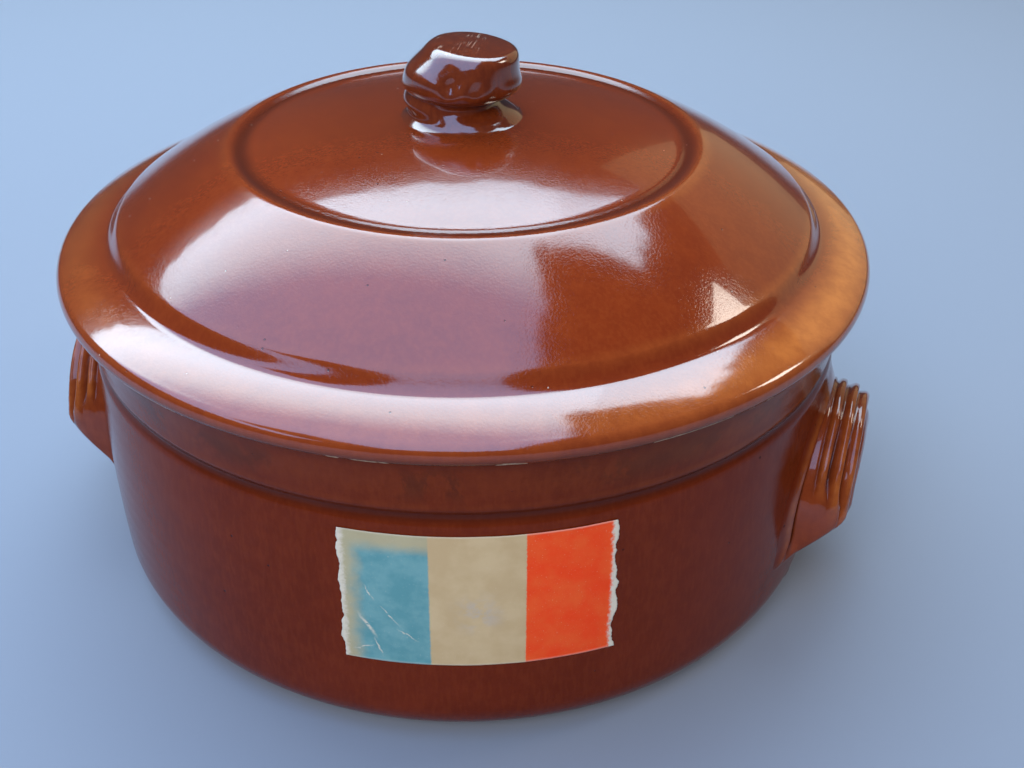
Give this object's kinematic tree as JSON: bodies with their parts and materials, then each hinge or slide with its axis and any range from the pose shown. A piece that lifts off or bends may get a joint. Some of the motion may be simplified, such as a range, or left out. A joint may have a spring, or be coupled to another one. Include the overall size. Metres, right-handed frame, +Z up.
{
  "type": "lidded terrine",
  "caption": "Round brown-glazed stoneware terrine with arched ribbed handles on the wall, a stepped domed lid with a squat knob, and a torn paper label.",
  "frame": {"origin": "centre of the base, on the surface the pot stands on", "axes": "+Z up, the front faces -Y between the two handles, +X to the right"},
  "size_m": [0.2604, 0.2414, 0.1585],
  "materials": {
    "pot_glaze": "glossy red-brown glaze",
    "lid_glaze": "glossy orange-brown glaze",
    "label_paper": "worn printed paper"
  },
  "bodies": {
    "pot": {"pot": "pot_glaze", "left_handle": "pot_glaze", "right_handle": "pot_glaze", "paper_label": "label_paper"},
    "lid": {"lid": "lid_glaze", "lid_knob": "lid_glaze"}
  },
  "joints": [
    {"name": "lid_lift", "type": "slide", "parent": "pot", "child": "lid", "axis": [0, 0, 1], "range_m": [0, 0.12]}
  ]
}
